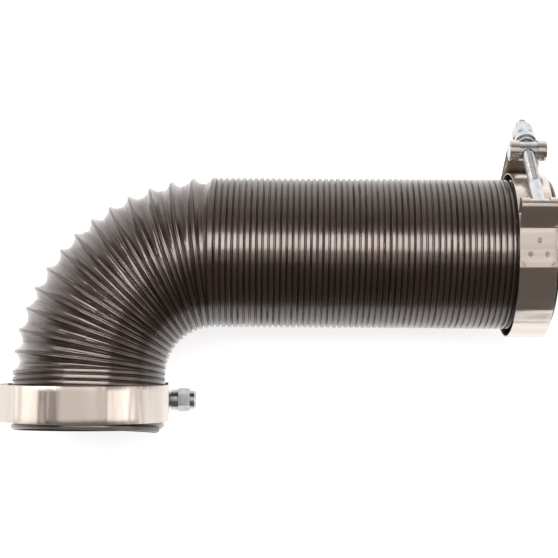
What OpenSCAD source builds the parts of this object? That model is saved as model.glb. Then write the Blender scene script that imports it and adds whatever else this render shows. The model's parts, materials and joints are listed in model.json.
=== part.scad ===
/* [Hose] */
// Radius to the top of the ridges
hose_r = 40; // [38:0.5:45]
// Radius of the smooth bore, which slides over a 3-inch pipe
bore_r = 38.1; // [36:0.1:38.3]
// Distance from one ridge to the next where the hose is pushed together
ridge_pitch = 3.09; // [2.9:0.01:3.5]
// Ridges in the straight run
run_ridges = 48; // [20:1:60]
// Ridges in the right end piece, beyond the run
end_ridges = 9; // [8:1:12]
// Ridges in the tail, beyond the bend
tail_ridges = 10; // [9:1:12]
// Thickness of the spring wire inside the ridges
wire_d = 1; // [0.6:0.1:1.2]

/* [Bend] */
// Radius of the bend's centre line
bend_r = 65.8; // [65:0.1:90]
// Pleats opened out in the bend
pleats = 14; // [14:1:14]
// Turn of the whole bend, in degrees
bend_turn = 90; // [60:1:90]

/* [Clamps] */
// Width of the clamp band
band_w = 19; // [16:0.5:22]
// Thickness of the band's steel
band_t = 0.7; // [0.5:0.1:0.9]
// Outer radius of the right clamp's band
right_band_r = 44.1; // [43.8:0.1:44.6]
// Outer radius of the left clamp's band, which is opened further
left_band_r = 44.7; // [44.6:0.1:45.2]
// Diameter of the clamp bolt
bolt_d = 6.35; // [5:0.05:7]
// Length of the bolt from its cross bar to its tip
bolt_len = 73; // [70:1:76]
// Diameter of the trunnion barrel
trunnion_d = 9.5; // [8.5:0.1:10]
// Outer diameter of the spacer
spacer_d = 11.3; // [9:0.1:11.5]
// Width of the nut across its flats
nut_af = 11.1; // [10:0.1:11.1]
// Slot in the bands that the bolt passes through
slot_w = 9.9; // [8:0.1:11]

/* [Clamp places] */
// Distance from the bolt's axis to the right clamp's centre
right_foot = 47.5; // [47.3:0.1:48]
// Turn of the right clamp's bolt about the hose, from straight up towards the back
right_turn = 49; // [0:1:60]
// Height of the right clamp's centre above the hose axis that rests in it
right_lift = 2; // [0:0.1:2]
// Distance of the right clamp's middle from the hose's end
right_inset = 12.1; // [10:0.1:20]
// Distance from the bolt's axis to the left clamp's centre
left_foot = 49; // [48.8:0.1:49.4]
// Lean of the left clamp towards the top
left_tilt = 3; // [2:0.5:6]
// Distance of the left clamp's middle from the end of the bend
left_inset = 14.6; // [14:0.1:16]
// Sideways offset of the left clamp's centre from the hose in it
left_shift = 2.5; // [0:0.1:2.5]
// Height of the left clamp's centre above the hose in it
left_lift = 1; // [0.5:0.1:1]

/* [Hidden] */
$fn = 64;
fine_fn = 32;
wire_sides = 8;
web_sides = 28;
gap = 0.3;
ridge_depth = 1;
groove_w = 0.6;
ridge_bevel = 0.25;
hoop_w = 2.2;
hoop_clear = 0.1;
web_t = 0.6;
web_sag = 1.6;
notch_turn = 75;

hoops = pleats - 1;
step_turn = bend_turn / pleats;
wire_r = (hose_r + bore_r) / 2;
run_len = run_ridges * ridge_pitch;
end_len = end_ridges * ridge_pitch;
hose_end_x = run_len + gap + end_len;

// The bolt's stations along its own axis, measured from the foot of the clamp's centre line
right_bar_x = -18.2;
right_trunnion_x = 28.6;
left_bar_x = -17.3;
left_trunnion_x = 35.45;
spacer_len = 3.5;
spacer_stand = 6.95;
nose_d = 9.4;
nose_stand = 4.55;
flat_stand = 4.35;
nut_gap = 0.02;
nut_len = 7;
collar_len = 2.8;
collar_d = 10.2;
ring_seat = 0.3;
ring_d = collar_d - 1.6;
ring_len = collar_len - 0.3;
thread_clear = 0.05;
trunnion_hole_r = bolt_d / 2 + 0.35;
roll_clear = 0.08;
lap_start = 26;
neck_from = 23;
neck_to = 31;
neck_t = 5.2;
slot_back = 1.3;
lap_end = 58.5;
strand_turn = 22.5;
hinge_gap = 0.2;
seam = 1.2;
lap_weld = 0.2;
roll_seam = 33;
wall_t = band_t - 0.12;
bridge_t = 0.4;
bridge_drop = 1.7;
bridge_from = -25;
bridge_to = 75;

// Heights: both clamps rest on the floor, and the bend rises to meet the left one
axis_z = right_band_r - right_lift;
left_z = spacer_d / 2 + left_foot * cos(left_tilt);
bend_rise = left_z - left_lift - axis_z;
roll = asin(bend_rise / (bend_r + left_inset));
right_x = hose_end_x - right_inset;
left_x = -bend_r - left_shift;
left_y = -(bend_r + left_inset) * cos(roll);
tail_len = tail_ridges * ridge_pitch;

// Middle of the whole object, seen from above
min_x = left_x - left_band_r;
min_y = -(bend_r + tail_len) * cos(roll) - hose_r * sin(roll);
tip_out = right_bar_x + bolt_len;
max_y = right_foot * sin(right_turn) + tip_out * cos(right_turn) + bolt_d / 2 * sin(right_turn);
mid_x = (min_x + hose_end_x) / 2;
mid_y = (min_y + max_y) / 2;

vinyl = "#3b3430";
wire_steel = "#8d8f92";
stainless = "#cdc8bf";
zinc = "#b9bfc6";
nylon = "#d9d9d4";

function two(k) = str(k < 10 ? "0" : "", k);
function polar(r, a) = [r * sin(a), r * cos(a)];

HOOPS = [for (k = [1:hoops]) str("pleat_", two(k))];
WEBS = [for (k = [1:pleats]) str("web_", two(k))];
CLAMP_PARTS = ["strap_band", "loop_band", "bridge", "t_bolt", "trunnion", "spacer", "nut", "nylon_ring"];
CLAMPS = [for (side = ["right_", "left_"]) for (p = CLAMP_PARTS) str(side, p)];
SKINS = ["run_skin", "run_wire", "end_skin", "end_wire", "tail_skin", "tail_wire"];

// Frames. The run lies along X from the bend, and the bend curls towards -Y and rises.
module to_frame() { translate([-mid_x, -mid_y, axis_z]) children(); }

module on_run(x) { to_frame() translate([x, 0, 0]) rotate([0, 90, 0]) children(); }

module on_bend(a) {
    to_frame() rotate([-roll, 0, 0])
        translate([-bend_r * sin(a), bend_r * (cos(a) - 1), 0])
            rotate([0, 0, a]) rotate([0, -90, 0]) children();
}

module on_right_clamp() {
    to_frame() translate([right_x, 0, right_lift])
        rotate([-right_turn, 0, 0]) rotate([90, 0, 90]) children();
}

module on_left_clamp() {
    to_frame() translate([left_x, left_y, left_z - axis_z])
        rotate([-90 - left_tilt, 0, 0]) children();
}

// Hose
function ridge(k) = let (z = k * ridge_pitch) [
    [hose_r - ridge_depth, z + groove_w / 2],
    [hose_r, z + groove_w / 2 + ridge_bevel],
    [hose_r, z + ridge_pitch - groove_w / 2 - ridge_bevel],
    [hose_r - ridge_depth, z + ridge_pitch - groove_w / 2]];

module ridged_skin(ridges) {
    outline = concat(
        [[bore_r, 0], [hose_r - ridge_depth, 0]],
        [for (k = [0:ridges - 1]) each ridge(k)],
        [[hose_r - ridge_depth, ridges * ridge_pitch], [bore_r, ridges * ridge_pitch]]);
    color(vinyl) rotate_extrude() polygon(outline);
}

module wire_turns(turns) {
    color(wire_steel)
        for (k = [0:turns - 1])
            translate([0, 0, (k + 0.5) * ridge_pitch])
                rotate_extrude() polygon([for (i = [0:wire_sides - 1])
                    [wire_r, 0] + wire_d / 2 * [cos(360 * (i + 0.5) / wire_sides), sin(360 * (i + 0.5) / wire_sides)]]);
}

module run_skin() { on_run(0) ridged_skin(run_ridges); }

module run_wire() { on_run(0) wire_turns(run_ridges); }

module end_skin() { on_run(run_len + gap) ridged_skin(end_ridges); }

module end_wire() { on_run(run_len + gap) wire_turns(end_ridges); }

// The cut end follows the spiral, so the last ridge stops short over part of a turn
module tail_skin() {
    on_bend(bend_turn) color(vinyl) difference() {
        ridged_skin(tail_ridges);
        translate([0, 0, (tail_ridges - 1) * ridge_pitch])
            rotate([0, 0, 15]) rotate_extrude(angle = -notch_turn)
                translate([bore_r - 1, 0]) square([hose_r - bore_r + 2, ridge_pitch + 1]);
    }
}

module tail_wire() { on_bend(bend_turn) wire_turns(tail_ridges - 1); }

// One turn of the spiral in the bend: the wire with the vinyl round it
module pleat(k) {
    outline = [
        [bore_r, -hoop_w / 2],
        [hose_r - ridge_depth, -hoop_w / 2],
        [hose_r, -hoop_w / 2 + ridge_bevel],
        [hose_r, hoop_w / 2 - ridge_bevel],
        [hose_r - ridge_depth, hoop_w / 2],
        [bore_r, hoop_w / 2]];
    color(vinyl) on_bend(k * step_turn) rotate_extrude() polygon(outline);
}

// Point of the bend at the turn a, at the angle t round the hose, z further along and r from its centre line
function bend_point(a, t, z, r) =
    let (y = r * sin(t), out = bend_r + y)
    [-out * sin(a) - z * cos(a), out * cos(a) - bend_r - z * sin(a), r * cos(t)];
function bend_ring(a, z, r) = [for (i = [0:web_sides - 1]) bend_point(a, 360 * i / web_sides, z, r)];

// How far a web stays from the planes of the turns before and after it
function web_start(k) = k == 1 ? hoop_clear : hoop_w / 2 + hoop_clear;
function web_stop(k) = k == pleats ? hoop_clear : hoop_w / 2 + hoop_clear;

// Film of vinyl between two turns, folded inwards along its middle
module web(k) {
    before = (k - 1) * step_turn;
    after = k * step_turn;
    rim_r = hose_r - ridge_depth / 2;
    fold_r = rim_r - web_sag;
    rings = [
        bend_ring(before, web_start(k), rim_r),
        bend_ring((before + after) / 2, 0, fold_r),
        bend_ring(after, -web_stop(k), rim_r),
        bend_ring(after, -web_stop(k), rim_r - web_t),
        bend_ring((before + after) / 2, 0, fold_r - web_t),
        bend_ring(before, web_start(k), rim_r - web_t)];
    faces = [
        for (j = [0:len(rings) - 1]) for (i = [0:web_sides - 1])
            let (here = j * web_sides, there = (j + 1) % len(rings) * web_sides, n = (i + 1) % web_sides)
            each [[here + i, there + i, there + n], [here + i, there + n, here + n]]];
    color(vinyl) to_frame() rotate([-roll, 0, 0])
        polyhedron(points = [for (ring = rings) each ring], faces = faces);
}

// Clamps, drawn round Z with the bolt along X at the distance foot from the centre
module sector(r_in, r_out, from, to) {
    rotate([0, 0, 90 - to]) rotate_extrude(angle = to - from)
        translate([r_in, -band_w / 2]) square([r_out - r_in, band_w]);
}

module wall(p, q, t) {
    d = q - p;
    translate([p[0], p[1], 0]) rotate([0, 0, atan2(d[1], d[0])])
        translate([0, -t / 2, -band_w / 2]) cube([norm(d), t, band_w]);
}

module roll_tube(c, r_in, t) {
    translate([c[0], c[1], 0]) rotate([0, 0, roll_seam]) difference() {
        cylinder(r = r_in + t, h = band_w, center = true, $fn = fine_fn);
        cylinder(r = r_in, h = band_w + 1, center = true, $fn = fine_fn);
    }
}

module bolt_slot(c, foot) {
    translate([c[0] - 8, foot - 7, -slot_w / 2]) cube([22, 14, slot_w]);
}

// Band half that ends in the loop round the T-bolt's cross bar, folded back and spot-welded to itself
module loop_band(band_r, foot, bar_x) {
    c = [bar_x, foot];
    mid_r = band_r - band_t / 2;
    loop_in = bolt_d / 2 + roll_clear;
    color(stainless) difference() {
        union() {
            sector(band_r - band_t, band_r, -180 + hinge_gap, -strand_turn);
            sector(band_r - lap_weld, band_r + band_t, -lap_end, -lap_start);
            linear_extrude(band_w, center = true)
                polygon([polar(mid_r, -neck_from), polar(mid_r, -neck_to), c - [neck_t / 2, 0], c + [neck_t / 2, 0]]);
            translate([c[0], c[1], 0]) cylinder(r = loop_in + band_t, h = band_w, center = true, $fn = fine_fn);
        }
        translate([c[0], c[1], 0]) cylinder(r = loop_in, h = band_w + 1, center = true, $fn = fine_fn);
        translate([c[0] - slot_back, foot - 7, -slot_w / 2]) cube([12, 14, slot_w]);
    }
}

// Band half whose strap leaves the circle and wraps the trunnion
module strap_band(band_r, foot, pin_x) {
    c = [pin_x, foot];
    mid_r = band_r - band_t / 2;
    hold_in = trunnion_d / 2 + roll_clear;
    hold_mid = hold_in + band_t / 2;
    far = norm(c);
    leave = atan2(pin_x, foot) + acos((mid_r - hold_mid) / far);
    off_circle = polar(mid_r, leave);
    on_roll = c + polar(hold_mid, leave);
    color(stainless) difference() {
        union() {
            sector(band_r - band_t, band_r, leave - seam, 180 - hinge_gap);
            roll_tube(c, hold_in, band_t);
            wall(off_circle, on_roll, wall_t);
        }
        bolt_slot(c, foot);
    }
}

// Thin plate that carries the hose across the opening under the bolt
module bridge(band_r) {
    in_r = band_r - band_t;
    shift = bridge_drop / (1 - cos(bridge_to - bridge_from));
    arc_r = in_r - shift;
    color(stainless) translate(concat(polar(shift, bridge_to), 0))
        sector(arc_r - bridge_t, arc_r, bridge_from, bridge_to);
}

module t_bolt(foot, bar_x) {
    color(zinc) translate([bar_x, foot, 0]) {
        cylinder(d = bolt_d, h = band_w - 0.6, center = true, $fn = fine_fn);
        rotate([0, 90, 0]) cylinder(d = bolt_d, h = bolt_len - 0.6, $fn = fine_fn);
        translate([bolt_len - 0.6, 0, 0]) rotate([0, 90, 0])
            cylinder(d1 = bolt_d, d2 = bolt_d - 1.2, h = 0.6, $fn = fine_fn);
    }
}

module trunnion(foot, pin_x) {
    color(zinc) translate([pin_x, foot, 0]) difference() {
        cylinder(d = trunnion_d, h = band_w + 0.4, center = true, $fn = fine_fn);
        rotate([0, 90, 0]) cylinder(r = trunnion_hole_r, h = trunnion_d + 2, center = true, $fn = fine_fn);
        translate([flat_stand, -10, -slot_w / 2 + 0.2]) cube([2, 20, slot_w - 0.4]);
    }
}

// The nose reaches through the strap's slot to the flat of the trunnion
module spacer(foot, pin_x) {
    color(zinc) translate([pin_x, foot, 0]) rotate([0, 90, 0]) difference() {
        union() {
            translate([0, 0, spacer_stand]) cylinder(d = spacer_d, h = spacer_len, $fn = fine_fn);
            translate([0, 0, nose_stand]) cylinder(d = nose_d, h = spacer_stand - nose_stand + 1, $fn = fine_fn);
        }
        cylinder(r = bolt_d / 2 + thread_clear, h = 20, $fn = fine_fn);
    }
}

module nut(foot, pin_x) {
    hex_r = nut_af / 2 / cos(30);
    start = pin_x + spacer_stand + spacer_len + nut_gap;
    color(zinc) translate([start, foot, 0]) rotate([0, 90, 0]) difference() {
        union() {
            cylinder(r = hex_r, h = nut_len, $fn = 6);
            cylinder(d = collar_d, h = nut_len + collar_len, $fn = fine_fn);
        }
        translate([0, 0, -1]) cylinder(r = bolt_d / 2 + thread_clear, h = 20, $fn = fine_fn);
        translate([0, 0, nut_len - ring_seat]) cylinder(d = ring_d, h = ring_len, $fn = fine_fn);
    }
}

// Locking ring held in the nut's collar
module nylon_ring(foot, pin_x) {
    start = pin_x + spacer_stand + spacer_len + nut_gap + nut_len - ring_seat;
    color(nylon) translate([start, foot, 0]) rotate([0, 90, 0]) difference() {
        cylinder(d = ring_d, h = ring_len, $fn = fine_fn);
        translate([0, 0, -1]) cylinder(r = bolt_d / 2 + thread_clear, h = 10, $fn = fine_fn);
    }
}

// All pieces of one clamp, by name
module clamp_piece(p, band_r, foot, bar_x, pin_x) {
    if (p == "strap_band") strap_band(band_r, foot, pin_x);
    if (p == "loop_band") loop_band(band_r, foot, bar_x);
    if (p == "bridge") bridge(band_r);
    if (p == "t_bolt") t_bolt(foot, bar_x);
    if (p == "trunnion") trunnion(foot, pin_x);
    if (p == "spacer") spacer(foot, pin_x);
    if (p == "nut") nut(foot, pin_x);
    if (p == "nylon_ring") nylon_ring(foot, pin_x);
}

run_skin();
run_wire();
end_skin();
end_wire();
tail_skin();
tail_wire();
for (k = [1:hoops]) pleat(k);
for (k = [1:pleats]) web(k);
for (p = CLAMP_PARTS)
    on_right_clamp() clamp_piece(p, right_band_r, right_foot, right_bar_x, right_trunnion_x);
for (p = CLAMP_PARTS)
    on_left_clamp() clamp_piece(p, left_band_r, left_foot, left_bar_x, left_trunnion_x);
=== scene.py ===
"""Looks of the sewer hose kit: a helical vinyl hose with an opened bend and two T-bolt clamps.

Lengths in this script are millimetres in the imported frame, and meshes are written in metres.
"""

import json
import math

import bpy
import numpy as np
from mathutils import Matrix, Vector


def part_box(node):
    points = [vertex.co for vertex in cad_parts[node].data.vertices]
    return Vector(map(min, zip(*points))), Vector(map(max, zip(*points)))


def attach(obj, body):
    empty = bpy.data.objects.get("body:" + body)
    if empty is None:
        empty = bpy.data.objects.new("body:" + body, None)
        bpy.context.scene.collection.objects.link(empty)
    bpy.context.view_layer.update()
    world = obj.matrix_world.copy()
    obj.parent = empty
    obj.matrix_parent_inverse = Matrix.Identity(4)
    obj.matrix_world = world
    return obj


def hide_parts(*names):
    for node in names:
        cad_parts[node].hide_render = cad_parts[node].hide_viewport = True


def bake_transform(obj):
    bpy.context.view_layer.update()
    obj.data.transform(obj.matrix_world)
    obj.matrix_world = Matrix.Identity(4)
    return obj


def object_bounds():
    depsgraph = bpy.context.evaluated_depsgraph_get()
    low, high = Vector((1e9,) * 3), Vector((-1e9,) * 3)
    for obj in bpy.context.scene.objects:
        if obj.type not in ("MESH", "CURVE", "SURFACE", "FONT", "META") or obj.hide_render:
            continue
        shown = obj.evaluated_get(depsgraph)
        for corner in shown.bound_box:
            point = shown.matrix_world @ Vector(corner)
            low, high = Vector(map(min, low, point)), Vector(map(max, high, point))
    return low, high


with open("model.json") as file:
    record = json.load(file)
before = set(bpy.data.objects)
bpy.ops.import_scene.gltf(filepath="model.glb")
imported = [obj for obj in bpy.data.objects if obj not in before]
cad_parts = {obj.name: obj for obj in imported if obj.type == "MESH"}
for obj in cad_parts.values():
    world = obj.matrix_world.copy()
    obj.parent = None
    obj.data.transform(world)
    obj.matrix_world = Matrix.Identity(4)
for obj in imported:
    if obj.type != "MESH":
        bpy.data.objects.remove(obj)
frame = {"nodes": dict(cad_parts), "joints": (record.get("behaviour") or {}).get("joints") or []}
cad_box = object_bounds()

MM = 0.001
JOINTS = {j["name"]: j for j in frame["joints"]}
SIDES = ("right", "left")


def box_mm(node):
    lo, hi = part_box(node)
    return np.array(lo) / MM, np.array(hi) / MM


# ---------------------------------------------------------------- hose frame
HOSE_R = 40.0
BORE_R = 38.1
PITCH = 3.09
BEND_R = 65.8
PLEATS = 14
STEP = math.radians(90.0 / PLEATS)
TAIL_TURNS = 10
NOTCH_AT = -75.0
AROUND = 160
INNER_ROWS = 8

# section of one ridge and of the film beside it
CREST = 0.84
CREST_FALL = 0.5
CREST_CROWN = 0.05
SHOULDER = 1.2
FILM_DEPTH = 2.9
FILM_RATE = 0.32
WALL = 0.6

WIRE_R = 0.46
WIRE_AT = 38.95
WIRE_SIDES = 8
WIRE_STEPS = 40

run_lo, run_hi = box_mm("run_skin")
end_lo, end_hi = box_mm("end_skin")
ORIGIN = np.array([run_lo[0], (run_lo[1] + run_hi[1]) / 2, (run_lo[2] + run_hi[2]) / 2])
RUN_LEN = end_hi[0] - run_lo[0]
RUN_TURNS = 57
RUN_PITCH = RUN_LEN / RUN_TURNS
hinge = JOINTS["bend_01"]["axis"]
ROLL = math.atan2(abs(hinge[1]), abs(hinge[2]))


def smooth(x):
    x = np.clip(x, 0.0, 1.0)
    return x * x * (3 - 2 * x)


def place(u, t, r, along=0.0):
    """Point at turn u, angle t in degrees and radius r.

    u < 0 is the run, 0..PLEATS the bend, and beyond PLEATS the tail.
    """
    u, t, r = np.broadcast_arrays(np.asarray(u, float), np.asarray(t, float), np.asarray(r, float))
    y, z = r * np.sin(np.radians(t)), r * np.cos(np.radians(t))
    a = np.clip(u, 0, PLEATS) * STEP
    d = np.where(u < 0, u * RUN_PITCH, np.where(u > PLEATS, (u - PLEATS) * PITCH, 0.0)) + along
    out = BEND_R + y
    px = -out * np.sin(a) - d * np.cos(a)
    py = out * np.cos(a) - BEND_R - d * np.sin(a)
    # the bend leans, so everything is turned by ROLL about the run's axis
    qy = py * math.cos(ROLL) + z * math.sin(ROLL)
    qz = -py * math.sin(ROLL) + z * math.cos(ROLL)
    return np.stack([px, qy, qz], -1) + ORIGIN


def spacing(u, t):
    """Distance from one ridge to the next on the surface."""
    inside = smooth(u / 0.9 + 0.3) * smooth((PLEATS - u) / 0.9 + 0.3)
    bent = (BEND_R + (HOSE_R - 1) * np.sin(np.radians(t))) * STEP
    return PITCH + (bent - PITCH) * inside


def outer_r(u, t):
    """Outer radius of the skin: a ridge over the wire on each turn, and film between the ridges."""
    rad = np.radians(t)
    drift = 0.02 * np.sin(0.83 * u + 1.1) + 0.012 * np.sin(2.3 * u + rad)
    drift = drift + 0.008 * np.sin(5.1 * u - 2 * rad)
    f = u + t / 360.0 - 0.25 + drift
    turn = np.round(f)
    fr = f - turn
    space = spacing(u, t)
    g, half = np.abs(fr) * space, space / 2
    opened = smooth((space - 3.3) / 2.5)
    crest = CREST - 0.14 * opened
    crown = CREST_CROWN * (g / CREST) ** 2 * (g < CREST) + CREST_CROWN * (g >= CREST)
    r = HOSE_R - crown - (SHOULDER - 0.1 * opened) * smooth((g - crest) / CREST_FALL)
    room = np.clip(half - crest - CREST_FALL, 0, None)
    w = np.clip((g - crest - CREST_FALL) / np.maximum(room, 1e-3), 0, 1)
    uneven = 1 + 0.12 * np.sin(3 * rad + 1.7 * turn) + 0.08 * np.sin(7 * rad + 2.9 * turn)
    depth = FILM_DEPTH * (1 - np.exp(-FILM_RATE * room)) * uneven
    r = r - depth * (1 - (1 - w) ** 2)
    # fold lines left in the film from when it was pushed together
    side = np.where(fr > 0, 1.0, -1.0)
    wave = 0.55 + 0.45 * np.sin(5 * rad + 2.1 * turn + side)
    fold = np.exp(-(((w - 0.45 - 0.06 * np.sin(4 * rad + turn)) / 0.09) ** 2))
    r = r + 0.22 * opened * fold * wave * side
    r = r - 0.16 * opened * np.exp(-((g / 0.3) ** 2))
    r = r + 0.05 * np.sin(9 * rad + 1.3 * u) * opened * w
    # the pushed-together ridges aren't all equally proud
    low = 0.06 * np.sin(1.9 * turn + 2 * rad) ** 2 + 0.05 * np.sin(0.7 * turn - 3 * rad) ** 2
    return r - (1 - opened) * low


def inner_r(u, t):
    f = u + t / 360.0 - 0.25
    bore = BORE_R - 0.18 + 0.14 * np.cos(2 * math.pi * f)
    return np.minimum(bore, outer_r(u, t) - WALL)


def surface_normal(radius, u, t):
    """Outward normal of the surface, from small steps along and around the hose."""
    du, dt = 0.004, 0.4
    pu = place(u + du, t, radius(u + du, t)) - place(u - du, t, radius(u - du, t))
    pt = place(u, t + dt, radius(u, t + dt)) - place(u, t - dt, radius(u, t - dt))
    n = np.cross(pt, pu)
    n /= np.linalg.norm(n, axis=-1, keepdims=True)
    out = place(u, t, HOSE_R + 1) - place(u, t, HOSE_R)
    flip = np.sign((n * out).sum(-1, keepdims=True))
    return n * flip


def spiral_sheet(first, last, per_turn, radius, outward=True):
    """Sheet whose rows follow the spiral, cut at the turns first(t) and last(t)."""
    ts = np.arange(AROUND + 1) * 360.0 / AROUND
    lo, hi = first(ts), last(ts)
    n0 = math.floor((lo.min() - 0.25) * per_turn)
    n1 = math.ceil((hi.max() + 0.75) * per_turn)
    rows = np.arange(n0, n1 + 1) / per_turn
    u = rows[:, None] - ts[None, :] / 360.0 + 0.25
    ids = np.where(u <= lo + 1e-6, np.arange(AROUND + 1)[None, :] % AROUND, -1)
    ids = np.where(u >= hi - 1e-6, AROUND + np.arange(AROUND + 1)[None, :] % AROUND, ids)
    free = ids[:, :AROUND] < 0
    count = int(free.sum())
    ids[:, :AROUND][free] = 2 * AROUND + np.arange(count)
    seam = np.zeros(len(rows), int)
    seam[per_turn:] = ids[:-per_turn, 0]
    ids[:, AROUND] = seam
    uu = np.concatenate([lo[:AROUND], hi[:AROUND], u[:, :AROUND][free]])
    tt = np.concatenate([ts[:AROUND], ts[:AROUND], np.broadcast_to(ts[:AROUND], free.shape)[free]])
    verts = place(uu, tt, radius(uu, tt))
    normals = surface_normal(radius, uu, tt)
    quads = np.stack([ids[:-1, :-1], ids[:-1, 1:], ids[1:, 1:], ids[1:, :-1]], -1).reshape(-1, 4)
    srt = np.sort(quads, 1)
    same = (srt[:, 1:] == srt[:, :-1]).sum(1)
    faces = quads[same == 0].tolist()
    for q in quads[same == 1].tolist():
        tri = [q[i] for i in range(4) if q[i] != q[i - 1]]
        if len(tri) == 3:
            faces.append(tri)
    # wind the faces so that they look away from the wall
    a, b, c = (verts[faces[len(faces) // 2][i]] for i in range(3))
    facing = np.dot(np.cross(b - a, c - a), normals[faces[len(faces) // 2][0]]) > 0
    if facing != outward:
        faces = [f[::-1] for f in faces]
    if not outward:
        normals = -normals
    return verts, normals, faces


def flat(value):
    return lambda t: np.full_like(t, float(value))


def ring_cap(base_out, base_in, flip):
    """Rim that joins the outer and inner sheets at an end."""
    faces = []
    for j in range(AROUND):
        n = (j + 1) % AROUND
        quad = [base_out + j, base_out + n, base_in + n, base_in + j]
        faces.append(quad[::-1] if flip else quad)
    return faces


def add_mesh(name, verts, faces, material, loop_normals=None, sharp=None):
    me = bpy.data.meshes.new(name)
    me.from_pydata((np.asarray(verts) * MM).tolist(), [], faces)
    me.polygons.foreach_set("use_smooth", [True] * len(me.polygons))
    if sharp is not None:
        me.set_sharp_from_angle(angle=math.radians(sharp))
    if loop_normals is not None:
        me.normals_split_custom_set(loop_normals)
    me.update()
    obj = bpy.data.objects.new(name, me)
    bpy.context.scene.collection.objects.link(obj)
    me.materials.append(material)
    return obj


def hose_piece(name, first, last, material, per_turn, caps=(False, False)):
    """Skin between the turns first(t) and last(t), with a rim where caps says that an end is open."""
    vo, no, fo = spiral_sheet(first, last, per_turn, outer_r)
    vi, ni, fi = spiral_sheet(first, last, INNER_ROWS, inner_r, outward=False)
    base = len(vo)
    verts = np.concatenate([vo, vi])
    vnorm = np.concatenate([no, ni])
    faces = fo + [[i + base for i in f] for f in fi]
    normals = [vnorm[i] for f in faces for i in f]
    for at, wanted in enumerate(caps):
        if not wanted:
            continue
        ring = ring_cap(at * AROUND, base + at * AROUND, flip=at == 1)
        u = first(np.zeros(1))[0] if at == 0 else last(np.zeros(1))[0]
        away = place(u, 0, 0, along=-1.0 if at == 0 else 1.0) - place(u, 0, 0)
        a, b, c = (verts[ring[0][i]] for i in range(3))
        if np.dot(np.cross(b - a, c - a), away) < 0:
            ring = [f[::-1] for f in ring]
        faces += ring
        normals += [away] * (4 * len(ring))
    return add_mesh(name, verts, faces, material, [tuple(n) for n in normals])


def wire_piece(name, first, last, material):
    """The spring wire as one spiral tube with closed ends."""
    steps = int((last - first) * WIRE_STEPS)
    u = np.linspace(first, last, steps + 1)
    phi = np.arange(WIRE_SIDES) * 2 * math.pi / WIRE_SIDES
    uu = u[:, None] + WIRE_R * np.sin(phi)[None, :] / PITCH
    tt = np.broadcast_to(360.0 * (0.25 - u)[:, None], uu.shape)
    rr = WIRE_AT + WIRE_R * np.cos(phi)[None, :]
    verts = place(uu, tt, rr).reshape(-1, 3)
    faces = []
    for i in range(0, steps * WIRE_SIDES, WIRE_SIDES):
        for j in range(WIRE_SIDES):
            n = (j + 1) % WIRE_SIDES
            faces.append([i + j, i + n, i + WIRE_SIDES + n, i + WIRE_SIDES + j])
    last_ring = steps * WIRE_SIDES
    faces += [list(range(WIRE_SIDES)), [last_ring + j for j in reversed(range(WIRE_SIDES))]]
    return add_mesh(name, verts, faces, material, sharp=60)


# ---------------------------------------------------------------- materials
NOISE_LOW, NOISE_HIGH = 0.3, 0.7
STEEL_LOW, STEEL_HIGH = (0.60, 0.55, 0.50), (0.74, 0.685, 0.63)


class Nodes:
    """A node material with short ways to add and join nodes."""

    def __init__(self, name):
        self.material = bpy.data.materials.new(name)
        self.material.use_nodes = True
        self.tree = self.material.node_tree
        self.shader = self.tree.nodes["Principled BSDF"]

    def set(self, **values):
        for key, value in values.items():
            self.shader.inputs[key.replace("_", " ")].default_value = value

    def add(self, kind, **values):
        node = self.tree.nodes.new(kind)
        for key, value in values.items():
            if hasattr(node, key):
                setattr(node, key, value)
            else:
                node.inputs[key.replace("_", " ")].default_value = value
        return node

    def join(self, a, b):
        self.tree.links.new(a, b)

    def noise(self, scale, stretch=(1, 1, 1), detail=4.0, roughness=0.5):
        place_at = self.add("ShaderNodeTexCoord")
        mapping = self.add("ShaderNodeMapping")
        mapping.inputs["Scale"].default_value = stretch
        texture = self.add("ShaderNodeTexNoise", Scale=scale, Detail=detail, Roughness=roughness)
        self.join(place_at.outputs["Object"], mapping.inputs["Vector"])
        self.join(mapping.outputs["Vector"], texture.inputs["Vector"])
        return texture.outputs["Fac"]

    def ramp(self, source, stops):
        ramp = self.add("ShaderNodeValToRGB")
        while len(ramp.color_ramp.elements) < len(stops):
            ramp.color_ramp.elements.new(0.5)
        for element, (at, colour) in zip(ramp.color_ramp.elements, stops):
            element.position = at
            element.color = (*colour, 1)
        self.join(source, ramp.inputs["Fac"])
        return ramp.outputs["Color"]

    def colour(self, source, low, high):
        """Base colour that goes from low to high with the noise in source."""
        self.join(self.ramp(source, [(NOISE_LOW, low), (NOISE_HIGH, high)]), self.shader.inputs["Base Color"])

    def grey(self, source, low, high):
        rng = self.add("ShaderNodeMapRange")
        rng.inputs["From Min"].default_value = NOISE_LOW
        rng.inputs["From Max"].default_value = NOISE_HIGH
        rng.inputs["To Min"].default_value = low
        rng.inputs["To Max"].default_value = high
        self.join(source, rng.inputs["Value"])
        return rng.outputs["Result"]

    def bump(self, source, strength, distance):
        bump = self.add("ShaderNodeBump", Strength=strength, Distance=distance)
        self.join(source, bump.inputs["Height"])
        self.join(bump.outputs["Normal"], self.shader.inputs["Normal"])


def vinyl_material():
    m = Nodes("hose_vinyl_glossy")
    m.set(IOR=1.65, Specular_Tint=(1.0, 0.84, 0.77, 1))
    m.set(Coat_Weight=0.75, Coat_IOR=1.6, Coat_Roughness=0.15)
    m.colour(m.noise(26, detail=5), (0.0070, 0.0036, 0.0022), (0.0130, 0.0074, 0.0050))
    m.join(m.grey(m.noise(60, detail=3), 0.26, 0.38), m.shader.inputs["Roughness"])
    m.bump(m.noise(700, detail=3, roughness=0.6), 0.12, 0.0003)
    return m.material


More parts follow.
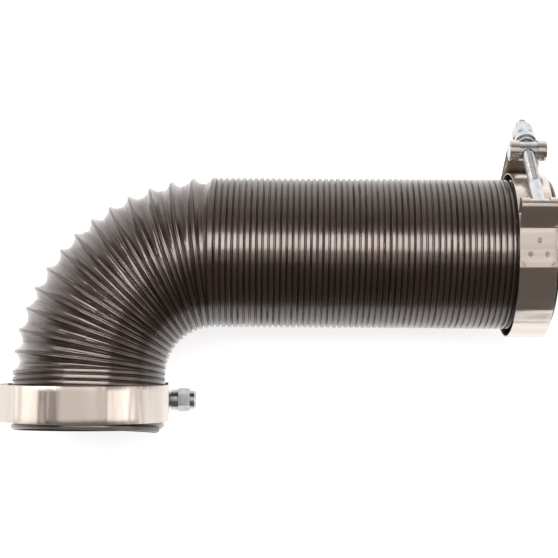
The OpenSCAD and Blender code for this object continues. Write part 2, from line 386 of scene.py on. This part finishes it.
def steel_material(name, brushed, waves, shade=1.0):
    """Rolled strip steel: fine lines along the band, and soft waves that break up reflections."""
    m = Nodes(name)
    m.set(Metallic=1.0)
    lines = m.noise(1.0, stretch=brushed, detail=5, roughness=0.65)
    wave = m.noise(1.0, stretch=waves, detail=2.5, roughness=0.45)
    m.colour(wave, tuple(shade * c for c in STEEL_LOW), tuple(shade * c for c in STEEL_HIGH))
    m.join(m.grey(lines, 0.22, 0.27), m.shader.inputs["Roughness"])
    broad = m.add("ShaderNodeBump", Strength=0.7, Distance=0.0022)
    fine = m.add("ShaderNodeBump", Strength=0.08, Distance=0.0002)
    m.join(wave, broad.inputs["Height"])
    m.join(broad.outputs["Normal"], fine.inputs["Normal"])
    m.join(lines, fine.inputs["Height"])
    m.join(fine.outputs["Normal"], m.shader.inputs["Normal"])
    return m.material


def zinc_material():
    m = Nodes("zinc_plated")
    m.set(Metallic=1.0)
    m.colour(m.noise(240, detail=5), (0.46, 0.49, 0.52), (0.62, 0.64, 0.66))
    m.join(m.grey(m.noise(500, detail=4), 0.2, 0.34), m.shader.inputs["Roughness"])
    m.bump(m.noise(900, detail=3), 0.1, 0.0002)
    return m.material


def nylon_material():
    m = Nodes("nylon_white")
    m.colour(m.noise(180), (0.62, 0.62, 0.57), (0.74, 0.74, 0.70))
    m.set(Roughness=0.45, Subsurface_Weight=0.1)
    return m.material


def weld_material():
    m = Nodes("weld_tint")
    m.set(Metallic=1.0)
    m.colour(m.noise(420, detail=4), (0.36, 0.29, 0.23), (0.58, 0.50, 0.43))
    m.join(m.grey(m.noise(600), 0.3, 0.45), m.shader.inputs["Roughness"])
    return m.material


def floor_material():
    m = Nodes("pale_floor")
    grey = m.ramp(m.noise(3), [(0.0, (0.38, 0.38, 0.38)), (1.0, (0.40, 0.40, 0.40))])
    m.join(grey, m.shader.inputs["Base Color"])
    m.set(Roughness=0.9, Specular_IOR_Level=0.1)
    m.set(Emission_Color=(1, 1, 1, 1), Emission_Strength=0.8)
    return m.material


VINYL = vinyl_material()
WIRE = steel_material("spring_wire_steel", (400, 400, 400), (90, 90, 90), 0.8)
BAND = {
    "right": steel_material("stainless_right", (1900, 45, 45), (9, 75, 75)),
    "left": steel_material("stainless_left", (45, 1900, 45), (75, 9, 75)),
}
ZINC = zinc_material()
NYLON = nylon_material()
WELD = weld_material()

# ---------------------------------------------------------------- hose
FLEX_FROM, FLEX_TO = 0.3, 0.7


def centre_m(u):
    return tuple(place(u, 0, 0) * MM)


# the run is one piece
run_piece = hose_piece("hose_run", flat(-RUN_TURNS), flat(0), VINYL, 12, caps=(True, False))
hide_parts("run_skin", "end_skin")
centre_m(-20)
centre_m(-46)
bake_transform(run_piece)
run_wire = wire_piece("hose_run_wire", -RUN_TURNS + 0.25, -0.2, WIRE)
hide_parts("run_wire", "end_wire")
centre_m(-20)
centre_m(-46)
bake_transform(run_wire)

# one piece for each opened turn of the bend
for k in range(1, PLEATS + 1):
    piece = hose_piece(f"hose_turn_{k:02d}", flat(k - 1), flat(k), VINYL, 32)
    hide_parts(f"web_{k:02d}", *([f"pleat_{k:02d}"] if k < PLEATS else []))
    centre_m(k - 1 + FLEX_FROM)
    centre_m(k - 1 + FLEX_TO)
    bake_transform(piece)


def tail_end(t):
    """The tail is cut along the spiral, so its end steps back by one turn at the notch."""
    return PLEATS + TAIL_TURNS - ((t - NOTCH_AT) % 360.0) / 360.0


tail_piece = hose_piece("hose_tail", flat(PLEATS), tail_end, VINYL, 12, caps=(False, True))
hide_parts("tail_skin")
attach(tail_piece, "tail")
tail_wire = wire_piece("hose_tail_wire", PLEATS + 0.2, PLEATS + TAIL_TURNS - 1.6, WIRE)
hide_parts("tail_wire")
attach(tail_wire, "tail")

# ---------------------------------------------------------------- clamps
BAND_W = 19.0
BAND_T = 0.7
BOLT_R = 3.175
SLOT_HALF = 4.95
EDGE = 0.18
CUT_LENGTH, CUT_SLOPE = 3.2, 0.95
BOLT_LENGTH = 73.0
THREAD_FROM, THREAD_PITCH, THREAD_DEPTH = 17.0, 0.907, 0.42
NUT_FLATS = 11.1
NUT_GAP = 6.95 + 3.5 + 0.02
TRUNNION_R = 4.75
PLAY = 0.08
BRIDGE_T = 0.4
CLAMP = {
    "right": dict(r=44.1, foot=47.5, bar=-18.2, pin=28.6),
    "left": dict(r=44.7, foot=49.0, bar=-17.3, pin=35.45),
}


class Frame:
    """A clamp's own axes: x along the bolt, y towards it, z along the hose."""

    def __init__(self, side):
        spec = CLAMP[side]
        bar = np.array(JOINTS[f"{side}_bolt_swing"]["pos_m"]) / MM
        self.x = np.array(JOINTS[f"{side}_nut_travel"]["axis"], float)
        pivot = np.array(JOINTS[f"{side}_clamp_close"]["pos_m"]) / MM
        self.x /= np.linalg.norm(self.x)
        # the hinge lies opposite the bolt, on the line through the clamp's centre
        foot_point = bar - self.x * spec["bar"]
        self.y = foot_point - pivot
        self.y -= self.x * np.dot(self.y, self.x)
        self.y /= np.linalg.norm(self.y)
        self.z = np.cross(self.x, self.y)
        self.centre = foot_point - self.y * spec["foot"]

    def world(self, p):
        p = np.asarray(p, float)
        return self.centre + p[..., :1] * self.x + p[..., 1:2] * self.y + p[..., 2:3] * self.z

    def metres(self, x, y, z=0.0):
        return tuple(self.world(np.array([x, y, z])) * MM)


def polar(r, deg):
    a = math.radians(deg)
    return np.array([r * math.sin(a), r * math.cos(a)])


def arc_polar(r, a, b, step=2.0):
    n = max(2, int(abs(b - a) / step) + 1)
    return [polar(r, x) for x in np.linspace(a, b, n)]


def arc_about(c, r, a, b, step=9.0):
    n = max(2, int(abs(b - a) / step) + 1)
    return [c + r * np.array([math.cos(math.radians(x)), math.sin(math.radians(x))]) for x in np.linspace(a, b, n)]


def curve(p0, d0, p1, d1, n=8):
    """Smooth corner from p0 heading d0 to p1 heading d1."""
    k = np.linalg.norm(np.asarray(p1) - p0) * 0.45
    q0, q1 = p0 + np.asarray(d0) * k, p1 - np.asarray(d1) * k
    out = []
    for s in np.linspace(0, 1, n + 1)[1:-1]:
        out.append((1 - s) ** 3 * p0 + 3 * (1 - s) ** 2 * s * q0 + 3 * (1 - s) * s * s * q1 + s**3 * p1)
    return out


def straight(p, q, step=1.5):
    p, q = np.asarray(p, float), np.asarray(q, float)
    n = max(2, int(np.linalg.norm(q - p) / step) + 1)
    return [p + (q - p) * s for s in np.linspace(0, 1, n)]


def refine(points, longest=1.2):
    out = [points[0]]
    for p in points[1:]:
        gap = np.linalg.norm(p - out[-1])
        if gap < 1e-6:
            continue
        cuts = max(1, int(math.ceil(gap / longest)))
        base = out[-1]
        out += [base + (p - base) * (i / cuts) for i in range(1, cuts + 1)]
    return np.array(out)


def lengths(path):
    """Length along the path at each of its points."""
    return np.concatenate([[0], np.cumsum(np.linalg.norm(np.diff(path, axis=0), axis=1))])


def strip(path, half_width, slot, thick):
    """Solid band along path (2D), of half width half_width(s), with the slot's half width slot(s)."""
    s = lengths(path)
    tan = np.gradient(path, s, axis=0)
    tan /= np.linalg.norm(tan, axis=1, keepdims=True)
    nor = np.stack([tan[:, 1], -tan[:, 0]], 1)
    h = thick / 2
    verts, faces = [], []
    inner = [(0.0, h), (0.3, h), (0.65, h)]
    for sign in (1, -1):
        base = len(verts)
        size = 12
        for i, at in enumerate(s):
            w, z0 = half_width(at), slot(at)
            rim = w - EDGE
            ring = [(z0 + f * (rim - z0), hh) for f, hh in inner]
            ring += [(rim, h), (w - 0.05, h - 0.05), (w, h - EDGE)]
            ring += [(w, EDGE - h), (w - 0.05, 0.05 - h), (rim, -h)]
            ring += [(z0 + f * (rim - z0), -h) for f in (0.65, 0.3, 0.0)]
            for z, d in ring:
                p = path[i] + nor[i] * d
                verts.append((p[0], p[1], sign * z))
        for i in range(len(s) - 1):
            for j in range(size):
                n = (j + 1) % size
                if j == size - 1 and slot(s[i]) <= 0 and slot(s[i + 1]) <= 0:
                    continue
                row, above = base + i * size, base + (i + 1) * size
                quad = [row + j, row + n, above + n, above + j]
                faces.append(quad if sign > 0 else quad[::-1])
        for i, turn in ((0, True), (len(s) - 1, False)):
            cap = [base + i * size + j for j in range(size)]
            faces.append(cap[::-1] if turn == (sign > 0) else cap)
    return np.array(verts, float), faces


def weld_close(verts, faces, tol=1e-4):
    """Joins points that lie on each other, such as along the middle of a band."""
    key = np.round(verts / tol).astype(np.int64)
    _, first, inverse = np.unique(key, axis=0, return_index=True, return_inverse=True)
    inverse = inverse.reshape(-1)
    out = []
    for f in faces:
        g = [int(inverse[i]) for i in f]
        g = [g[i] for i in range(len(g)) if g[i] != g[i - 1]]
        if len(g) >= 3 and len(set(g)) == len(g):
            out.append(g)
    return verts[first], out


def slot_profile(ranges):
    """Half width of the slots at s; a slot's end is round when its flag says so."""

    def width(at):
        for a, b, round_a, round_b in ranges:
            if a < at < b:
                da = at - a if round_a else SLOT_HALF
                db = b - at if round_b else SLOT_HALF
                d = min(da, db, SLOT_HALF)
                return math.sqrt(max(0.0, SLOT_HALF**2 - (SLOT_HALF - d) ** 2))
        return 0.0

    return width


def at_path(path, test):
    """Length along the path of the first point that passes the test."""
    s = lengths(path)
    for i, p in enumerate(path):
        if test(i, p):
            return s[i]
    raise ValueError("no point of the path passes")


LAP_FROM, LAP_TO = -33.0, -58.5
KINKS = (LAP_FROM, LAP_TO, -75.0, -90.0, -105.0)


def lap_line(side):
    """The flat lap's two ends, its direction and its outward normal."""
    mid = CLAMP[side]["r"] - BAND_T / 2
    p, q = polar(mid, LAP_FROM), polar(mid, LAP_TO)
    along = (q - p) / np.linalg.norm(q - p)
    off = np.array([along[1], -along[0]])
    if np.dot(off, p) < 0:
        off = -off
    return p + off * (BAND_T + 0.03), q + off * (BAND_T + 0.03), along, off


def heading(deg):
    """Unit vector that leans deg from upright."""
    a = math.radians(deg)
    return np.array([math.sin(a), math.cos(a)])


def band_path(side, bar, pin):
    """Middle line of a whole band: lap, loop over the cross bar, round the hose, and round the trunnion."""
    c = CLAMP[side]
    mid = c["r"] - BAND_T / 2
    roll_r = BOLT_R + PLAY + BAND_T / 2
    hold_r = TRUNNION_R + PLAY + BAND_T / 2
    lap_start, lap_stop, along_lap, _ = lap_line(side)
    # lap, up to the loop, over the cross bar and down to the circle
    lap = straight(lap_stop, lap_start)
    over = arc_about(bar, roll_r, 165, -14)
    rise, fall = heading(15), -heading(14)
    up_from = over[0] - rise * 8.4
    pts = list(lap)
    pts += curve(lap[-1], -along_lap, up_from, rise, 8)
    pts += straight(up_from, over[0])
    pts += over[1:]
    down = over[-1]
    turn_from = down + fall * (np.linalg.norm(down - polar(mid, -23.5)) - 2.2)
    pts += straight(down, turn_from)[1:]
    circle_start = -27.0
    circle_dir = np.array([-math.cos(math.radians(circle_start)), math.sin(math.radians(circle_start))])
    pts += curve(turn_from, fall, polar(mid, circle_start), circle_dir, 8)
    # round the hose to where the strap leaves for the trunnion, flat between the kinks beyond the lap
    lean = math.acos((mid - hold_r) / np.linalg.norm(pin))
    leave = math.degrees(math.atan2(c["pin"], c["foot"]) + lean)
    pts += arc_polar(mid, circle_start, KINKS[0], 1.8)
    pts += [polar(mid, a) for a in KINKS[1:]]
    pts += arc_polar(mid, KINKS[-1], leave - 360.0, 1.8)[1:]
    pts += straight(polar(mid, leave), pin + polar(hold_r, leave))[1:]
    pts += [pin + polar(hold_r, x) for x in np.linspace(leave, leave - 318, 40)][1:]
    return refine([np.asarray(p, float) for p in pts])


def band_half_width(at):
    """Half of the band's width at a length along it; the lap's end has its corners cut."""
    return BAND_W / 2 - max(0.0, CUT_LENGTH - at) * CUT_SLOPE


def band_piece(side):
    c = CLAMP[side]
    fr = Frame(side)
    bar = np.array([c["bar"], c["foot"]])
    pin = np.array([c["pin"], c["foot"]])
    path = band_path(side, bar, pin)
    s = lengths(path)
    total = s[-1]
    near_bar = np.linalg.norm(path - bar, axis=1) < BOLT_R + PLAY + BAND_T / 2 + 0.3
    loop_from = at_path(path, lambda i, p: near_bar[i] and p[0] > bar[0] - 1.3)
    loop_to = at_path(path, lambda i, p: s[i] > loop_from + 6 and p[1] < bar[1] - 5.4)
    strap_from = at_path(path, lambda i, p: s[i] > loop_to + 60 and p[0] > 20 and p[1] > bar[1] - 13.0)
    slots = slot_profile([(loop_from, loop_to, False, True), (strap_from, total + 20, True, False)])
    # rows that mark the slots' ends keep their outline round
    extra = []
    for edge, sign in ((loop_from, 1), (loop_to, -1), (strap_from, 1)):
        extra += [edge + sign * d for d in (0.02, 0.15, 0.5, 1.0, 1.8, 3.0, 4.2, 4.94)]
    extra += [0.8, 1.6, 2.4, CUT_LENGTH]
    marks = np.unique(np.concatenate([s, [e for e in extra if 0 < e < total]]))
    marks = marks[np.concatenate([[True], np.diff(marks) > 0.015])]
    path = np.stack([np.interp(marks, s, path[:, 0]), np.interp(marks, s, path[:, 1])], 1)
    verts, faces = weld_close(*strip(path, band_half_width, slots, BAND_T))
    obj = add_mesh(f"{side}_band", fr.world(verts), faces, BAND[side], sharp=38)
    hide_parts(f"{side}_loop_band", f"{side}_strap_band")
    fr.metres(14, -c["r"])
    fr.metres(-14, -c["r"])
    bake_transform(obj)


def bridge_piece(side):
    """Thin plate inside the band that bridges the gap under the bolt; its ends lie on the band."""
    fr = Frame(side)
    shift = 1.7 / (1 - math.cos(math.radians(100)))
    arc_r = CLAMP[side]["r"] - BAND_T - shift
    centre = polar(shift, 75)
    path = refine([centre + polar(arc_r - BRIDGE_T / 2, x) for x in np.linspace(-24.8, 74.8, 60)])
    total = lengths(path)[-1]

    def half_width(at):
        return BAND_W / 2 - 0.4 - max(0.0, 3.0 - min(at, total - at)) * 0.8

    verts, faces = weld_close(*strip(path, half_width, lambda at: 0.0, BRIDGE_T))
    obj = add_mesh(f"{side}_bridge_plate", fr.world(verts), faces, BAND[side], sharp=38)
    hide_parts(f"{side}_bridge")
    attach(obj, f"{side}_strap")


def lathe(profile, around):
    """Solid of revolution about x from (x, r) points, whose ends lie on the axis."""
    verts, faces = [], []
    ang = np.arange(around) * 2 * math.pi / around
    for x, r in profile:
        for a in ang:
            verts.append((x, r * math.cos(a), r * math.sin(a)))
    for i in range(len(profile) - 1):
        for j in range(around):
            n = (j + 1) % around
            faces.append([i * around + j, (i + 1) * around + j, (i + 1) * around + n, i * around + n])
    return np.array(verts), faces


def tube_faces(rows, around):
    """Faces between rows of points; each row goes once round."""
    faces = []
    for i in range(rows - 1):
        for j in range(around):
            n = (j + 1) % around
            faces.append([i * around + j, i * around + n, (i + 1) * around + n, (i + 1) * around + j])
    return faces


def thread_r(x, turn, tip):
    """Radius of the threaded part at x and at a share of a turn round it."""
    saw = 1 - abs(2 * (((x - THREAD_FROM) / THREAD_PITCH - turn) % 1.0) - 1)
    fade = min(1.0, (x - THREAD_FROM) / 1.5) * min(1.0, (tip - x) / 0.9 + 0.15)
    return BOLT_R - 0.02 - THREAD_DEPTH * fade * (1 - min(1.0, saw * 1.25))


def bolt_piece(side):
    c = CLAMP[side]
    fr = Frame(side)
    around, per_turn = 28, 6
    turns = int((BOLT_LENGTH - 1.3 - THREAD_FROM) / THREAD_PITCH)
    tip = THREAD_FROM + turns * THREAD_PITCH
    rings = [(x, [BOLT_R - 0.12] * around) for x in np.arange(0.4, THREAD_FROM, 1.2)]
    for i in range(turns * per_turn):
        x = THREAD_FROM + i * THREAD_PITCH / per_turn
        rings.append((x, [thread_r(x, j / around, tip) for j in range(around)]))
    end = [(tip, 0.35), (tip + 0.35, 0.55), (BOLT_LENGTH - 0.25, 0.95), (BOLT_LENGTH - 0.05, 1.6)]
    rings += [(x, [BOLT_R - less] * around) for x, less in end]
    rings.append((BOLT_LENGTH, [0.01] * around))
    angles = [2 * math.pi * j / around for j in range(around)]
    verts = [(x, r * math.cos(a), r * math.sin(a)) for x, radii in rings for a, r in zip(angles, radii)]
    faces = tube_faces(len(rings), around)
    shaft = np.array(verts) + [c["bar"], c["foot"], 0]
    # cross bar with rounded ends
    half = BAND_W / 2 - 0.3
    prof = [(-half, 0.01), (-half, BOLT_R - 0.9), (-half + 0.25, BOLT_R - 0.4), (-half + 0.8, BOLT_R)]
    prof += [(-x, r) for x, r in reversed(prof)]
    bv, bf = lathe(prof, 40)
    bar = np.stack([bv[:, 1] + c["bar"], bv[:, 2] + c["foot"], bv[:, 0]], 1)
    base = len(shaft)
    allv = np.concatenate([shaft, bar])
    faces = [f[::-1] for f in faces] + [[i + base for i in f] for f in bf]
    obj = add_mesh(f"{side}_t_bolt_threaded", fr.world(allv), faces, ZINC, sharp=50)
    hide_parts(f"{side}_t_bolt")
    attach(obj, f"{side}_bolt")


def nut_piece(side):
    """Lock nut: a chamfered hexagon with a round collar that holds the nylon ring."""
    c = CLAMP[side]
    fr = Frame(side)
    start = c["pin"] + NUT_GAP
    flat_r = NUT_FLATS / 2
    corner = flat_r / math.cos(math.radians(30))
    around, hole = 72, BOLT_R + 0.05
    angles = [2 * math.pi * j / around for j in range(around)]
    hexed = [flat_r / math.cos((a + math.pi / 6) % (math.pi / 3) - math.pi / 6) for a in angles]
    # x along the nut, radius, and whether the radius only limits the hexagon
    section = [
        (0.25, hole, False),
        (0.0, hole + 0.3, False),
        (0.0, flat_r - 0.25, False),
        (0.18, flat_r + 0.05, True),
        (0.55, corner - 0.12, True),
        (0.85, corner - 0.04, True),
        (6.15, corner - 0.04, True),
        (6.5, corner - 0.14, True),
        (6.95, flat_r - 0.05, True),
        (7.05, 5.1, False),
        (8.9, 5.08, False),
        (9.45, 4.9, False),
        (9.75, 4.5, False),
        (9.8, 4.28, False),
        (9.3, 4.25, False),
        (6.8, 4.25, False),
        (6.8, hole, False),
    ]
    verts, faces = [], []
    for x, limit, is_hex in section:
        for a, h in zip(angles, hexed):
            r = min(h, limit) if is_hex else limit
            verts.append((start + x, c["foot"] + r * math.cos(a), r * math.sin(a)))
    for i in range(len(section)):
        i2 = (i + 1) % len(section)
        for j in range(around):
            n = (j + 1) % around
            faces.append([i * around + j, i2 * around + j, i2 * around + n, i * around + n])
    obj = add_mesh(f"{side}_lock_nut", fr.world(np.array(verts)), faces, ZINC, sharp=28)
    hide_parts(f"{side}_nut")
    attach(obj, f"{side}_lock")


def weld_piece(side, name, share, z):
    """Shallow crater of a spot weld, at a share of the lap's length and z across it."""
    fr = Frame(side)
    start, stop, along, off = lap_line(side)
    centre = start + (stop - start) * share + off * (BAND_T / 2)
    prof = [(0.0, -0.02), (0.4, 0.0), (0.7, 0.04), (0.95, 0.06), (1.15, 0.04), (1.35, -0.05)]
    around = 28
    verts = []
    for rad, h in prof:
        for j in range(around):
            a = 2 * math.pi * j / around
            p = centre + along * rad * math.sin(a) + off * (h + 0.045)
            verts.append((p[0], p[1], z + rad * math.cos(a)))
    verts, faces = weld_close(np.array(verts), tube_faces(len(prof), around))
    obj = add_mesh(f"{side}_{name}", fr.world(verts), faces, WELD, sharp=60)
    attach(obj, f"{side}_loop")


for side in SIDES:
    band_piece(side)
    bridge_piece(side)
    bolt_piece(side)
    nut_piece(side)
    for spot, (share, across) in enumerate(((0.30, 0.3), (0.66, -4.2), (0.66, 4.2)), 1):
        weld_piece(side, f"spot_weld_{spot}", share, across)

# every CAD node gets a finish; only the trunnions, spacers and nylon rings stay visible
FINISH = {
    "trunnion": ZINC,
    "spacer": ZINC,
    "nylon_ring": NYLON,
    "skin": VINYL,
    "wire": WIRE,
    "pleat": VINYL,
    "web": VINYL,
    "t_bolt": ZINC,
    "nut": ZINC,
}
for name, node in frame["nodes"].items():
    steel = BAND["right" if name.startswith("right") else "left"]
    material = next((m for key, m in FINISH.items() if key in name), steel)
    for index in range(len(node.material_slots)):
        node.material_slots[index].material = material

# ---------------------------------------------------------------- floor, light and camera
FLOOR_HALF = 4.0
FLOOR_Z = cad_box[0][2]
FLOOR_CORNERS = [(x * FLOOR_HALF, y * FLOOR_HALF, FLOOR_Z) for x, y in ((-1, -1), (1, -1), (1, 1), (-1, 1))]
floor_mesh = bpy.data.meshes.new("floor")
floor_mesh.from_pydata(FLOOR_CORNERS, [], [(0, 1, 2, 3)])
floor = bpy.data.objects.new("floor", floor_mesh)
bpy.context.scene.collection.objects.link(floor)
floor_mesh.materials.append(floor_material())


LOOK_AT = Vector((0, 0, 0.04))
WARM = (1.0, 0.93, 0.895)


def area_light(name, at, size_x, size_y, power):
    data = bpy.data.lights.new(name, "AREA")
    data.shape = "RECTANGLE"
    data.size, data.size_y = size_x, size_y
    data.energy = power
    data.color = WARM
    obj = bpy.data.objects.new(name, data)
    obj.location = at
    obj.rotation_euler = (LOOK_AT - Vector(at)).to_track_quat("-Z", "Y").to_euler()
    bpy.context.scene.collection.objects.link(obj)
    return obj


def light_only(light, pieces):
    """Like a studio flag: the light reaches these pieces and nothing else."""
    group = bpy.data.collections.new(light.name + "_lights")
    for piece in pieces:
        group.objects.link(piece)
    light.light_linking.receiver_collection = group


METAL_NAMES = {m.name for m in (*BAND.values(), ZINC, WELD)}
meshes = [o for o in bpy.context.scene.objects if o.type == "MESH" and o.data.materials]
metal = [o for o in meshes if any(m and m.name in METAL_NAMES for m in o.data.materials)]
others = [o for o in meshes if o not in metal]
light_only(area_light("key_overhead", (0.0, 0.37, 1.3), 1.7, 0.54, 23), others)
light_only(area_light("left_on_metal", (-1.2, 0.0, 0.55), 0.9, 0.9, 2.6), metal)
light_only(area_light("key_on_metal", (0.0, 0.40, 1.3), 1.7, 0.50, 2.6), metal)
area_light("top_panel", (0.0, -0.08, 1.3), 1.7, 0.42, 1.8)
area_light("key_left", (-1.05, 0.62, 1.05), 0.6, 0.7, 5)
area_light("side_right", (1.25, -0.05, 0.85), 0.6, 1.0, 2.6)

# the room is white near the floor, dim overhead and brown in front
WORLD_STOPS = ((0.2, 1.0), (0.5, 0.42), (0.8, 0.1))
WORLD_TINT = (1.0, 0.92, 0.885)
WORLD_FRONT = (0.13, 0.112, 0.10, 1)
world = bpy.data.worlds.new("studio")
world.use_nodes = True
bpy.context.scene.world = world
tree = world.node_tree
background = tree.nodes["Background"]
background.inputs["Strength"].default_value = 1.0
coord = tree.nodes.new("ShaderNodeTexCoord")
split = tree.nodes.new("ShaderNodeSeparateXYZ")
ramp = tree.nodes.new("ShaderNodeValToRGB")
front = tree.nodes.new("ShaderNodeMapRange")
front.inputs["From Min"].default_value = -0.55
front.inputs["From Max"].default_value = 0.1
mix = tree.nodes.new("ShaderNodeMix")
mix.data_type = "RGBA"
mix.inputs[6].default_value = WORLD_FRONT
tree.links.new(coord.outputs["Generated"], split.inputs["Vector"])
tree.links.new(split.outputs["Z"], ramp.inputs["Fac"])
tree.links.new(split.outputs["Y"], front.inputs["Value"])
tree.links.new(front.outputs["Result"], mix.inputs["Factor"])
tree.links.new(ramp.outputs["Color"], mix.inputs[7])
tree.links.new(mix.outputs[2], background.inputs["Color"])
stops = ramp.color_ramp.elements
stops.new(0.5)
for stop, (at, level) in zip(stops, WORLD_STOPS):
    stop.position = at
    stop.color = (*(level * c for c in WORLD_TINT), 1)

bpy.context.scene.view_settings.view_transform = "Standard"
camera_data = bpy.data.cameras.new("camera")
camera_data.sensor_width = 36.0
camera_data.lens = 87.0
camera = bpy.data.objects.new("camera", camera_data)
camera.location = (0.0023, -0.0004, 0.764)
camera.rotation_euler = (0.0, 0.0, math.radians(0.4))
bpy.context.scene.collection.objects.link(camera)
bpy.context.scene.camera = camera
